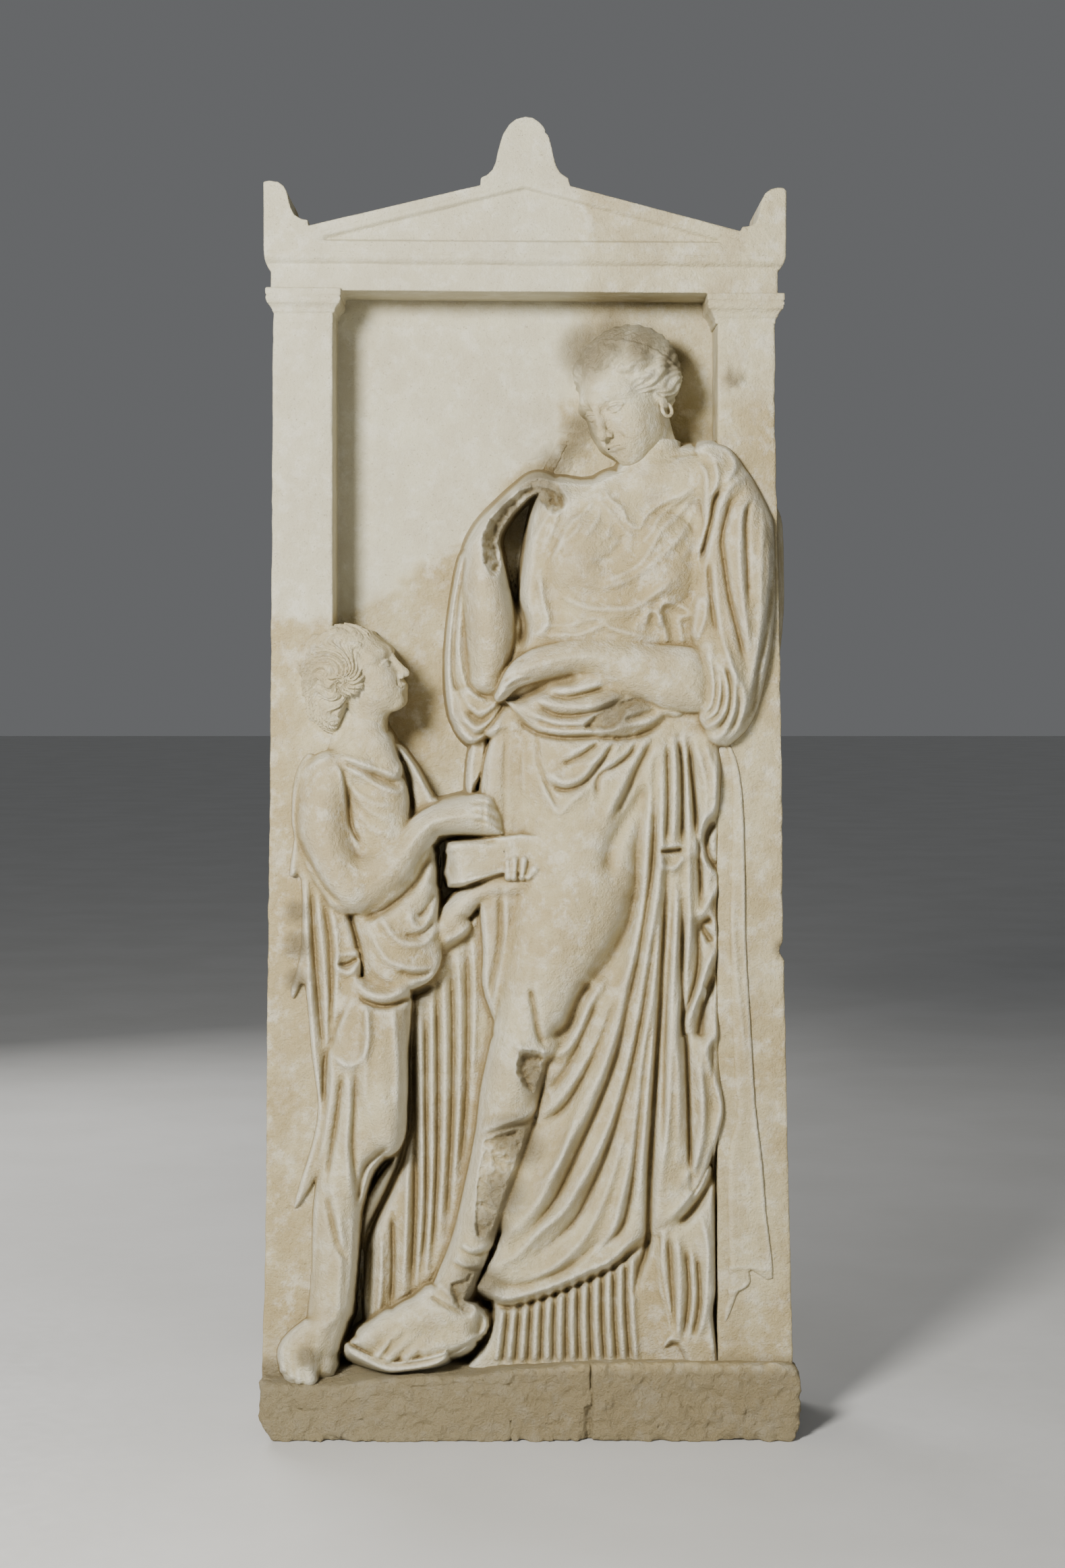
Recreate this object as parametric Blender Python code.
"""A carved marble grave stele: gabled crown, two antae, recessed ground, two draped figures, rough base.

One block, one solid. Metres, +Z up, the carved face looks along -Y, the origin is under the middle
of the base. The architecture is drawn in real sizes. The figures are a relief, drawn as seen by an
eye in front of the block: a point of the drawing is a column (to the right) and a row (down), and
its relief is its height in millimetres
above the recessed ground, towards the eye.
"""

import math

import bmesh
import bpy
import numpy as np

NAME = "stele"

# Driving dimensions of the block.
BASE_WIDTH = 0.725
BASE_HEIGHT = 0.088
DEPTH = 0.240
SLAB_THICKNESS = 0.085
ANTA_RELIEF = 0.100
CROWN_RELIEF = 0.112
TOP = 1.779
DEEPEST_CARVING = 154.0
CROWN_SLOPE = math.radians(-0.6)
EMBED = 0.006

BACK_Y = DEPTH / 2
GROUND_Y = BACK_Y - SLAB_THICKNESS
FRONT_Y = -DEPTH / 2
ANTA_Y = GROUND_Y - ANTA_RELIEF
CROWN_Y = GROUND_Y - CROWN_RELIEF

# Antae: their outer edges spread towards the base.
ANTA_FOOT = (-0.360, 0.357)
ANTA_HEAD = (-0.349, 0.334)
ANTA_INNER = (-0.267, 0.256)
ANTA_TOP = 1.550
SLAB_TOP = 1.570
FOOT_Z = 0.040
CAPITAL_STEPS = ((1.514, 1.526, 0.003), (1.526, 1.538, 0.007), (1.538, 1.552, 0.011))
ARCHITRAVE = (-0.352, 0.338, 1.545, 1.600)
ARCHITRAVE_Y = ANTA_Y - 0.004
CORNICE_STEPS = ((1.575, 1.584, 0.004), (1.584, 1.600, 0.009))
CROWN_SIDES = (-0.3605, 0.3480)
CROWN_FOOT = 1.590

# The crown's outline, from the left end of the cornice over the three akroteria, in metres.
SIDE_AKROTERION = (
    (0.000, 1.696), (0.019, 1.695), (0.030, 1.688), (0.036, 1.668), (0.043, 1.650), (0.058, 1.643),
)
GABLE_FOOT = (0.061, 1.635)
GABLE_HEAD = (0.060, 1.690)
CENTRE_AKROTERION = ((0.058, 1.701), (0.045, 1.714), (0.036, 1.740), (0.023, 1.766), (0.000, TOP))
CENTRE_X = -0.005
RAKE_WIDTH = 0.012
RAKE_LIFT = 0.004
TYMPANUM = ((-0.275, 1.613), (-0.005, 1.676), (0.256, 1.613))
TYMPANUM_DEPTH = 0.006

# The eye that the figures are drawn for, and the drawing's own frame.
EYE_HEIGHT = 1.0584
EYE_DISTANCE = 3.800
EYE_X = -0.0093
STEPS_PER_SLOPE = 4050.0
EYE_COLUMN = 775.0
EYE_ROW = 964.0
GRID_STEP = 3.0
SHEET = (424.0, 1166.0, 470.0, 2062.0)
TRIM = 0.002
FIGURE_TRIANGLES = 8200

# Body masses: each is a tapered limb along stations of (column, row, half width, crest, edge).
# The crest is the relief along the middle of the limb and the edge is the relief at its sides.
MASSES = {
    "woman torso": ((915, 740, 100, 126, 88), (915, 850, 122, 138, 88), (900, 950, 112, 132, 88),
                    (885, 1130, 125, 146, 88)),
    "woman near breast": ((985, 838, 48, 148, 120), (980, 850, 48, 148, 120)),
    "woman far breast": ((860, 820, 46, 143, 112), (862, 832, 46, 143, 112)),
    "woman shoulders": ((850, 738, 28, 118, 85), (950, 722, 40, 132, 95), (1060, 705, 45, 138, 100)),
    "woman left upper arm": ((1065, 715, 48, 140, 100), (1098, 790, 52, 148, 102),
                             (1103, 900, 48, 150, 102),
                             (1092, 1000, 44, 150, 102), (1078, 1055, 36, 148, 102)),
    "woman left forearm": ((1070, 1025, 46, 148, 110), (1000, 1006, 50, 155, 120), (920, 985, 40, 156, 120),
                           (860, 975, 27, 153, 122), (800, 990, 30, 152, 122), (755, 1012, 22, 146, 120)),
    "woman right forearm": ((695, 1065, 32, 122, 70), (688, 1000, 30, 130, 70), (712, 900, 44, 134, 70),
                            (735, 800, 40, 130, 70), (782, 735, 26, 126, 70), (815, 728, 22, 118, 70)),
    "woman right upper arm": ((812, 750, 28, 108, 55), (765, 900, 26, 96, 50), (730, 1050, 32, 108, 55)),
    "woman neck": ((965, 640, 40, 118, 80), (955, 705, 52, 126, 88)),
    "woman cranium": ((905, 562, 70, 142, 85), (955, 560, 70, 138, 85)),
    "woman face": ((893, 590, 55, 146, 85), (905, 622, 42, 140, 85)),
    "woman thigh": ((880, 1130, 122, 147, 88), (865, 1250, 104, 153, 88), (835, 1380, 92, 157, 88),
                    (800, 1470, 72, 159, 88), (778, 1540, 60, 155, 88)),
    "woman shin": ((778, 1560, 58, 152, 84), (755, 1650, 58, 148, 84), (720, 1770, 52, 143, 84),
                   (692, 1860, 42, 138, 84), (668, 1930, 34, 135, 84)),
    "woman standing leg": ((975, 1100, 82, 130, 88), (990, 1300, 76, 126, 88), (995, 1600, 72, 122, 88),
                           (1000, 1800, 66, 122, 88), (1005, 1990, 60, 120, 88)),
    "woman skirt": ((900, 1450, 90, 120, 84), (865, 1700, 110, 112, 84), (850, 1850, 120, 108, 84),
                    (862, 1985, 128, 106, 84)),
    "woman foot": ((668, 1925, 30, 138, 90), (615, 1962, 34, 143, 90), (552, 1992, 24, 146, 90)),
    "girl head": ((498, 980, 54, 147, 95), (530, 1000, 56, 148, 95)),
    "girl nape": ((488, 1000, 46, 146, 96), (488, 1050, 34, 140, 96), (484, 1080, 20, 132, 96)),
    "girl neck": ((530, 1050, 40, 136, 92), (535, 1120, 46, 140, 92)),
    "girl upper arm": ((500, 1155, 44, 148, 98), (480, 1230, 42, 154, 98), (505, 1310, 40, 156, 98)),
    "girl forearm": ((520, 1310, 40, 152, 88), (590, 1272, 36, 150, 88), (645, 1218, 28, 144, 88),
                     (740, 1208, 24, 138, 88)),
    "girl torso": ((555, 1170, 52, 132, 85), (570, 1300, 66, 128, 85), (580, 1440, 66, 128, 85)),
    "girl far forearm": ((655, 1372, 26, 110, 70), (700, 1328, 22, 112, 78), (785, 1304, 16, 116, 88)),
    "girl cloak": ((462, 1180, 26, 128, 97), (455, 1350, 26, 124, 97), (470, 1600, 28, 126, 97),
                   (462, 1760, 24, 122, 97)),
    "girl skirt": ((530, 1480, 68, 138, 88), (540, 1610, 70, 142, 88), (535, 1720, 62, 140, 88),
                   (500, 1890, 50, 138, 88), (484, 1985, 44, 136, 88)),
    "girl far pleats": ((615, 1450, 46, 100, 55), (618, 1700, 44, 96, 55), (596, 1900, 50, 92, 55)),
    "girl foot": ((452, 1985, 26, 138, 95), (444, 2040, 30, 134, 95)),
}

# Drapery: ridges (positive) and grooves (negative) of (half width, height, points).
FOLDS = {
    "neckline": (11, 7, ((885, 722), (910, 745), (931, 775), (952, 778), (985, 748), (1030, 718))),
    "second neck fold": (11, 6, ((1030, 725), (990, 757), (962, 790), (945, 812))),
    "third neck fold": (12, 6, ((1035, 735), (1000, 770), (970, 805), (935, 845), (880, 861))),
    "breast fold": (13, -6, ((1040, 745), (1018, 790), (985, 825), (935, 862), (880, 872))),
    "chest catenary": (11, 6, ((830, 880), (880, 902), (930, 902), (975, 878), (1000, 860))),
    "chest ray": (10, -5, ((885, 738), (852, 772), (835, 800), (815, 835))),
    "belt": (9, 8, ((800, 942), (860, 940), (915, 930), (972, 948))),
    "belt knot": (24, 9, ((968, 912), (990, 905), (1005, 930), (985, 948))),
    "mantle edge": (13, 10, ((1034, 668), (1046, 700), (1045, 750), (1031, 835), (1035, 865), (1022, 920))),
    "mantle second edge": (11, 7, ((1055, 675), (1064, 705), (1050, 775), (1038, 812))),
    "mantle long groove": (9, -9, ((1100, 730), (1078, 765), (1074, 830), (1085, 900), (1107, 990))),
    "mantle outer groove": (8, -7, ((1145, 850), (1132, 960), (1118, 1045), (1100, 1070))),
    "elbow ridge": (9, 6, ((1050, 960), (1058, 1035), (1040, 1060))),
    "elbow second ridge": (9, 6, ((1070, 960), (1078, 1035), (1045, 1077))),
    "elbow third ridge": (9, 6, ((1085, 990), (1087, 1060), (1048, 1092))),
    "waist roll": (20, 9, ((775, 1050), (815, 1066), (870, 1072), (960, 1068), (1000, 1058))),
    "waist roll groove": (9, -9, ((800, 1040), (860, 1050), (925, 1030))),
    "waist hem": (10, -8, ((765, 1078), (830, 1096), (910, 1094), (985, 1074))),
    "hip catenary": (11, 7, ((830, 1160), (870, 1145), (920, 1085))),
    "hip second catenary": (11, 7, ((889, 1182), (890, 1145), (935, 1105), (945, 1085))),
    "hip long fold": (12, 8, ((900, 1215), (930, 1155), (968, 1085))),
    "thigh shadow": (16, -14, ((965, 1150), (900, 1260), (945, 1320), (905, 1415), (860, 1465))),
    "knee groove": (10, -8, ((790, 1465), (797, 1530), (812, 1562))),
    "knee catenary": (12, 9, ((810, 1560), (850, 1545), (885, 1465), (905, 1435))),
    "shin fold one": (14, 10, ((800, 1648), (855, 1595), (908, 1500), (940, 1400), (965, 1250))),
    "shin fold two": (14, 12, ((735, 1845), (815, 1752), (872, 1640), (925, 1500), (962, 1400),
                              (983, 1250))),
    "shin fold three": (14, 12, ((715, 1878), (800, 1825), (890, 1700), (938, 1550), (975, 1400),
                                (995, 1250))),
    "shin fold four": (12, 12, ((905, 1835), (937, 1710), (960, 1500), (1000, 1400), (1010, 1250))),
    "shin fold five": (10, 10, ((945, 1790), (962, 1590), (975, 1490))),
    "central groove": (9, -16, ((988, 1285), (977, 1500), (963, 1740), (940, 1915))),
    "upper groove": (8, -12, ((1005, 1090), (1016, 1255), (1013, 1330), (1020, 1550), (1028, 1765))),
    "hanging edge": (10, 12, ((1060, 1180), (1040, 1230), (1064, 1310), (1030, 1358), (1060, 1400),
                              (1020, 1515), (1056, 1540), (1070, 1650), (1000, 1805))),
    "deep right groove": (8, -26, ((1068, 1110), (1070, 1300), (1070, 1500), (1076, 1650), (1062, 1750),
                                   (1060, 2010))),
    "himation hem": (9, 9, ((710, 1912), (775, 1926), (870, 1890), (935, 1845), (1000, 1808))),
    "himation hem shadow": (7, -9, ((722, 1930), (780, 1940), (875, 1906), (945, 1860))),
    "sleeve outer": (9, 7, ((745, 758), (700, 808), (668, 910), (664, 1010), (680, 1085))),
    "arm gap": (10, -40, ((778, 775), (765, 840), (772, 890), (768, 950))),
    "back mantle": (9, 6, ((1085, 1110), (1105, 1300), (1120, 1640), (1146, 1895), (1095, 1912))),
    "girl neckline": (9, 6, ((497, 1120), (545, 1135), (598, 1157))),
    "girl armhole": (8, -7, ((503, 1130), (516, 1200), (535, 1255))),
    "girl far cloak": (9, -8, ((585, 1103), (605, 1150), (610, 1210))),
    "girl overfold": (11, 8, ((540, 1470), (570, 1480), (610, 1465), (650, 1430))),
    "girl belt fold": (10, 7, ((530, 1430), (580, 1428), (640, 1428))),
    "girl knee hollow": (12, -9, ((535, 1780), (545, 1730), (580, 1700))),
    "girl deep groove": (8, -16, ((600, 1560), (602, 1640), (600, 1700), (575, 1780), (545, 1825))),
    "girl leg groove": (8, -10, ((511, 1582), (500, 1660), (490, 1740), (480, 1850))),
    "girl cloak edge": (9, 8, ((522, 1480), (495, 1540), (500, 1640), (470, 1700), (442, 1775))),
}

# Pleats that repeat between two lines: (count, half width, height, first line, last line).
PLEATS = {
    "chiton flutes": (9, 7, 7, ((748, 1942), (738, 2003)), ((965, 1875), (960, 2003))),
    "trailing pleats": (3, 8, 8, ((992, 1830), (1008, 1990)), ((1046, 1905), (1050, 1990))),
    "girl far pleats": (5, 7, 7, ((585, 1480), (558, 1930)), ((655, 1490), (636, 1930))),
    "girl skirt pleats": (4, 8, 5, ((478, 1790), (462, 1960)), ((522, 1790), (512, 1950))),
}

# The box that the girl holds: columns, rows and relief of its front.
BOX = (690, 806, 1244, 1298, 128)
LIMB_BLEND = 9.0
WALL_SLOPE = 9.0
FOLD_FADE = 0.12


def clear_scene():
    for thing in list(bpy.data.objects):
        bpy.data.objects.remove(thing, do_unlink=True)


def collection(name):
    made = bpy.data.collections.new(name)
    bpy.context.scene.collection.children.link(made)
    return made


def add_object(name, mesh, home):
    made = bpy.data.objects.new(name, mesh)
    home.objects.link(made)
    return made


def extruded(name, outline, front, back, home):
    """A flat outline of (x, z) points, extruded from the plane y = front to the plane y = back."""
    curve = bpy.data.curves.new(name, "CURVE")
    curve.dimensions = "2D"
    curve.fill_mode = "BOTH"
    curve.extrude = (back - front) / 2
    line = curve.splines.new("POLY")
    line.points.add(len(outline) - 1)
    for point, (x, z) in zip(line.points, outline):
        point.co = (x, z, 0, 1)
    line.use_cyclic_u = True
    guide = add_object(name + "_guide", curve, home)
    guide.rotation_euler.x = math.pi / 2
    guide.location.y = (front + back) / 2
    bpy.context.view_layer.update()
    graph = bpy.context.evaluated_depsgraph_get()
    mesh = bpy.data.meshes.new_from_object(guide.evaluated_get(graph))
    made = add_object(name, mesh, home)
    mesh.transform(guide.matrix_world)
    bpy.data.objects.remove(guide)
    shape = bmesh.new()
    shape.from_mesh(mesh)
    bmesh.ops.remove_doubles(shape, verts=shape.verts, dist=1e-5)
    bmesh.ops.recalc_face_normals(shape, faces=shape.faces)
    shape.to_mesh(mesh)
    shape.free()
    return made


def boolean(target, other, operation):
    modifier = target.modifiers.new(other.name, "BOOLEAN")
    modifier.operation = operation
    modifier.object = other
    modifier.solver = "MANIFOLD"  # many faces here lie in one plane, where EXACT leaves open edges
    other.hide_render = True
    other.display_type = "WIRE"


def box_outline(x0, x1, z0, z1):
    return ((x0, z0), (x1, z0), (x1, z1), (x0, z1))


def rounded(points, steps=3):
    """A Catmull-Rom curve through the points."""
    knots = [points[0], *points, points[-1]]
    curve = []
    for i in range(len(points) - 1):
        a, b, c, d = (np.array(p, float) for p in knots[i:i + 4])
        for s in np.linspace(0, 1, steps, endpoint=False):
            curve.append(tuple(0.5 * (2 * b + (c - a) * s + (2 * a - 5 * b + 4 * c - d) * s * s
                                      + (3 * b - a - 3 * c + d) * s ** 3)))
    curve.append(tuple(points[-1]))
    return curve


def crown_outline():
    left, right = CROWN_SIDES
    rise = rounded([(left + x, z) for x, z in SIDE_AKROTERION]) + [(left + GABLE_FOOT[0], GABLE_FOOT[1])]
    fall = [(left + right - x, z) for x, z in reversed(rise)]
    top = rounded([(CENTRE_X - x, z) for x, z in CENTRE_AKROTERION])
    top = [(CENTRE_X - GABLE_HEAD[0], GABLE_HEAD[1])] + top
    top += [(2 * CENTRE_X - x, z) for x, z in reversed(top[:-1])]
    return [(left, CROWN_FOOT)] + rise + top + fall + [(right, CROWN_FOOT)]


def sloped(made):
    """Turns a mesh about the middle of the crown's foot by the slope of the real crown."""
    centre = np.array((CENTRE_X, 0, CROWN_FOOT))
    c, s = math.cos(CROWN_SLOPE), math.sin(CROWN_SLOPE)
    for vertex in made.data.vertices:
        x, y, z = np.array(vertex.co) - centre
        vertex.co = (centre[0] + c * x - s * z, y, centre[2] + s * x + c * z)
    return made


def side_outline(inset):
    """The block between base and architrave, narrowed by inset on each side."""
    (left_foot, right_foot), (left_head, right_head) = ANTA_FOOT, ANTA_HEAD
    return (
        (left_foot + inset, FOOT_Z), (right_foot - inset, FOOT_Z),
        (right_head - inset, SLAB_TOP), (left_head + inset, SLAB_TOP),
    )


def build_block(home, cutters):
    """The architecture: slab, antae, capitals, architrave, cornice, crown and base."""
    foot, head = ANTA_FOOT, ANTA_HEAD
    stele = extruded(NAME, side_outline(0), GROUND_Y, BACK_Y, home)
    pieces = []
    for side in (0, 1):
        inner = ANTA_INNER[side]
        outline = ((foot[side], FOOT_Z), (inner, FOOT_Z), (inner, ANTA_TOP), (head[side], ANTA_TOP))
        if side:
            outline = outline[::-1]
        pieces.append(extruded(f"anta_{side}", outline, ANTA_Y, BACK_Y - 0.02, cutters))
        outward = -1 if side == 0 else 1
        for low, high, lift in CAPITAL_STEPS:
            x0, x1 = sorted((head[side] + outward * lift, inner - outward * lift))
            shape = extruded(f"capital_{side}", box_outline(x0, x1, low, high + 0.001),
                             ANTA_Y - lift * 0.8, BACK_Y - 0.03, cutters)
            pieces.append(shape)
    x0, x1, z0, z1 = ARCHITRAVE
    beam = extruded("architrave", box_outline(x0, x1, z0, z1), ARCHITRAVE_Y, BACK_Y, cutters)
    pieces.append(sloped(beam))
    for low, high, lift in CORNICE_STEPS:
        shape = extruded("cornice", box_outline(x0 - lift, x1 + lift, low, high), CROWN_Y + 0.010 - lift,
                         BACK_Y, cutters)
        pieces.append(sloped(shape))
    pieces.append(sloped(extruded("crown", crown_outline(), CROWN_Y, BACK_Y, cutters)))
    pieces.append(sloped(build_rake(cutters)))
    pieces.append(build_base(cutters))
    for piece in pieces:
        boolean(stele, piece, "UNION")
    hollow = extruded("tympanum", TYMPANUM, CROWN_Y - 0.05, CROWN_Y + TYMPANUM_DEPTH, cutters)
    boolean(stele, sloped(hollow), "DIFFERENCE")
    return stele


def build_rake(home):
    """The raised moulding that follows the two raking edges of the gable."""
    left, right = CROWN_SIDES
    feet = (left + 0.078, right - 0.078)
    apex = GABLE_HEAD[1] - 0.003
    lower = 1.630
    outline = (
        (feet[0], lower), (CENTRE_X, apex), (feet[1], lower),
        (feet[1] - 0.02, lower - RAKE_WIDTH / 2),
        (CENTRE_X, apex - RAKE_WIDTH),
        (feet[0] + 0.02, lower - RAKE_WIDTH / 2),
    )
    return extruded("rake", outline[::-1], CROWN_Y - RAKE_LIFT, BACK_Y - 0.02, home)


def build_base(home):
    """The rough base: a block with a worn front edge, wider than the antae."""
    profile = (
        (FRONT_Y, 0.0), (FRONT_Y, 0.070), (FRONT_Y + 0.012, 0.086), (ANTA_Y, BASE_HEIGHT + 0.004),
        (GROUND_Y + 0.02, BASE_HEIGHT), (BACK_Y, BASE_HEIGHT), (BACK_Y, 0.0),
    )
    base = extruded("base", profile, -BASE_WIDTH / 2, BASE_WIDTH / 2, home)
    for vertex in base.data.vertices:
        depth, across, height = vertex.co.x, vertex.co.y, vertex.co.z
        vertex.co = (-across, depth, height)
    base.data.update()
    edges = bmesh.new()
    edges.from_mesh(base.data)
    bmesh.ops.recalc_face_normals(edges, faces=edges.faces)
    edges.to_mesh(base.data)
    edges.free()
    return base


class Relief:
    """The relief's height over the drawing, in millimetres above the recessed ground."""

    def __init__(self):
        left, right, top, bottom = SHEET
        self.columns = np.arange(left, right + 0.1, GRID_STEP)
        self.rows = np.arange(top, bottom + 0.1, GRID_STEP)
        self.height = np.full((len(self.rows), len(self.columns)), -EMBED * 1000)

    def near(self, path, reach):
        """The part of the sheet within reach of a path: its slices and its grid of points."""
        low = path[:, :2].min(0) - reach
        high = path[:, :2].max(0) + reach
        c0, c1 = np.searchsorted(self.columns, (low[0], high[0]))
        r0, r1 = np.searchsorted(self.rows, (low[1], high[1]))
        grid = np.meshgrid(self.columns[c0:c1], self.rows[r0:r1])
        return (slice(r0, r1), slice(c0, c1)), grid

    def along(self, path, grid):
        """Distance to a path, and the path's own values and share of length at the nearest point."""
        x, y = grid
        best = np.full(x.shape, 1e9)
        values = np.zeros(x.shape + (path.shape[1] - 2,))
        share = np.zeros(x.shape)
        spans = len(path) - 1
        for i in range(spans):
            a, b = path[i], path[i + 1]
            run = b[:2] - a[:2]
            t = ((x - a[0]) * run[0] + (y - a[1]) * run[1]) / max(run @ run, 1e-9)
            t = np.clip(t, 0, 1)
            distance = np.hypot(x - a[0] - t * run[0], y - a[1] - t * run[1])
            closer = distance < best
            best = np.where(closer, distance, best)
            share = np.where(closer, (i + t) / spans, share)
            mixed = a[2:] + t[..., None] * (b[2:] - a[2:])
            values = np.where(closer[..., None], mixed, values)
        return best, values, share

    def mass(self, stations):
        path = np.array(rounded(stations, 4))
        where, grid = self.near(path, path[:, 2].max() + 30)
        distance, values, _ = self.along(path, grid)
        width, crest, edge = values[..., 0], values[..., 1], values[..., 2]
        bulge = np.sqrt(np.clip(1 - (distance / width) ** 2, 0, 1))
        wall = WALL_SLOPE * np.clip(distance - width, 0, None)
        form = edge + (crest - edge) * bulge - wall
        here = self.height[where]
        gap = np.clip(LIMB_BLEND - np.abs(here - form), 0, None) / LIMB_BLEND
        blended = np.maximum(here, form) + gap ** 2 * LIMB_BLEND / 4
        self.height[where] = np.where(form > here - LIMB_BLEND, blended, here)

    def fold(self, half_width, height, points):
        path = np.array(rounded(points, 4))
        where, grid = self.near(path, 2 * half_width)
        distance, _, share = self.along(path, grid)
        ends = np.clip(np.minimum(share, 1 - share) / FOLD_FADE, 0.2, 1)
        form = height * ends * np.exp(-(distance / half_width) ** 2)
        carved = self.height[where] > 20
        self.height[where] += np.where(carved, form, 0)

    def pleats(self, count, half_width, height, first, last):
        for share in np.linspace(0, 1, count):
            line = [tuple(np.array(a) + share * (np.array(b) - np.array(a))) for a, b in zip(first, last)]
            self.fold(half_width, height, line)

    def block(self, left, right, top, bottom, relief):
        x, y = np.meshgrid(self.columns, self.rows)
        inside = (x > left) & (x < right) & (y > top) & (y < bottom)
        self.height = np.where(inside, np.maximum(self.height, relief), self.height)


def carve_figures():
    relief = Relief()
    for stations in MASSES.values():
        relief.mass(stations)
    relief.block(*BOX)
    for fold in FOLDS.values():
        relief.fold(*fold)
    for pleats in PLEATS.values():
        relief.pleats(*pleats)
    relief.height = np.minimum(relief.height, DEEPEST_CARVING)
    return relief


def build_figures(home):
    """The figures' solid: a grid drawn out along the eye's lines of sight, closed behind the ground.

    It is trimmed to the block's own sides, where the mantle and the girl's cloak meet them.
    """
    relief = carve_figures()
    shape = bmesh.new()
    last_column, last_row = len(relief.columns) - 1, len(relief.rows) - 1
    bmesh.ops.create_grid(shape, x_segments=last_column, y_segments=last_row, size=0.5)
    shape.verts.ensure_lookup_table()
    places = np.array([vertex.co[:2] for vertex in shape.verts])
    across = np.rint((places[:, 0] + 0.5) * last_column).astype(int)
    down = np.rint((0.5 - places[:, 1]) * last_row).astype(int)
    height = relief.height[down, across] / 1000
    columns, rows = relief.columns[across], relief.rows[down]
    front = placed(columns, rows, height)
    for vertex, point in zip(shape.verts, front):
        vertex.co = point
    grown = bmesh.ops.extrude_face_region(shape, geom=shape.faces[:], use_keep_orig=True)
    for item in grown["geom"]:
        if isinstance(item, bmesh.types.BMVert):
            item.co.y = GROUND_Y + 2 * EMBED
    bmesh.ops.recalc_face_normals(shape, faces=shape.faces)
    mesh = bpy.data.meshes.new("figures")
    shape.to_mesh(mesh)
    shape.free()
    figures = add_object("figures", mesh, home)
    thinned = figures.modifiers.new("thin", "DECIMATE")
    thinned.ratio = FIGURE_TRIANGLES / (2 * len(mesh.polygons))
    boolean(figures, extruded("trim", side_outline(TRIM), FRONT_Y - TRIM, BACK_Y, home), "INTERSECT")
    return figures


def placed(columns, rows, height):
    """Points of the drawing, placed in metres: the relief moves a point towards the eye."""
    distance = EYE_DISTANCE - height
    x = EYE_X + (columns - EYE_COLUMN) / STEPS_PER_SLOPE * distance
    z = EYE_HEIGHT - (rows - EYE_ROW) / STEPS_PER_SLOPE * distance
    return np.stack((x, GROUND_Y - height, z), axis=1)


def marble():
    material = bpy.data.materials.new("marble")
    material.use_nodes = True
    shader = material.node_tree.nodes["Principled BSDF"]
    shader.inputs["Base Color"].default_value = (0.60, 0.54, 0.40, 1)
    shader.inputs["Roughness"].default_value = 0.62
    shader.inputs["Metallic"].default_value = 0
    return material


def build():
    clear_scene()
    home = collection("carved_stone_stele")
    cutters = collection("cutters")
    stele = build_block(home, cutters)
    boolean(stele, build_figures(cutters), "UNION")
    stele.data.materials.append(marble())


build()
